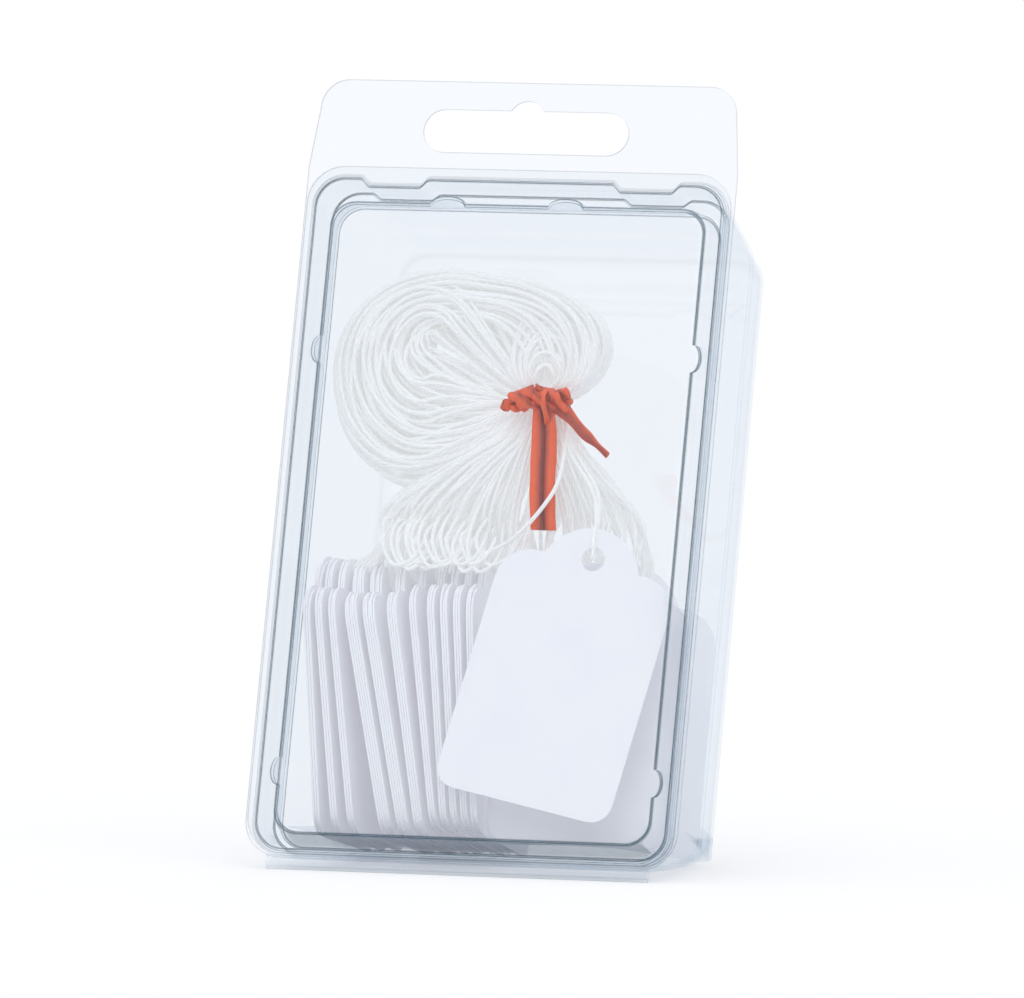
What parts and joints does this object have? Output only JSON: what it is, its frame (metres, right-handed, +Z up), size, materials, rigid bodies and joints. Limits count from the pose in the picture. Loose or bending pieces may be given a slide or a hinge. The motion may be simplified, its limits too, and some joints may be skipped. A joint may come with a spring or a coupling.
{
  "type": "plastic clamshell pack",
  "caption": "Clear hinged clamshell pack with a hang tab and a plug-in lid, holding a bundle of white strung paper tags tied with a rubber band.",
  "frame": {"origin": "centre of the pack's footprint box, on the surface it stands on", "axes": "+X to the pack's right seen from the front, +Y to its back, +Z up; the pack leans back 15.2 degrees on its hinge bead and the foot of its tray"},
  "size_m": [0.0668, 0.0608, 0.1165],
  "materials": {
    "film": "clear gloss",
    "card": "matte",
    "string": "twisted cotton",
    "band": "satin"
  },
  "bodies": {
    "tray": {"tray": "film", "tag_01": "card", "tag_02": "card", "tag_03": "card", "tag_04": "card", "tag_05": "card", "tag_06": "card", "tag_07": "card", "tag_08": "card", "tag_09": "card", "tag_10": "card", "tag_11": "card", "tag_12": "card", "tag_13": "card", "tag_14": "card", "tag_15": "card", "tag_16": "card", "tag_17": "card", "tag_18": "card", "tag_19": "card", "tag_20": "card", "tag_21": "card", "tag_22": "card", "tag_23": "card", "tag_24": "card", "tag_25": "card", "tag_26": "card", "tag_27": "card", "tag_28": "card", "tag_29": "card", "tag_30": "card", "tag_31": "card", "tag_32": "card", "tag_33": "card", "tag_34": "card", "tag_35": "card", "tag_36": "card", "tag_37": "card", "tag_38": "card", "front_tag_1": "card", "front_tag_2": "card", "front_tag_3": "card", "front_tag_4": "card", "hank_big": "string", "hank_small": "string", "string_fan": "string", "band_knot": "band", "band_strap": "band", "band_tail": "band"},
    "lid": {"lid": "film"}
  },
  "joints": [
    {"name": "lid_hinge", "type": "hinge", "parent": "tray", "child": "lid", "pos_m": [0, -0.0293, 0.0011], "axis": [1, 0, 0], "range_deg": [0, 105]}
  ]
}
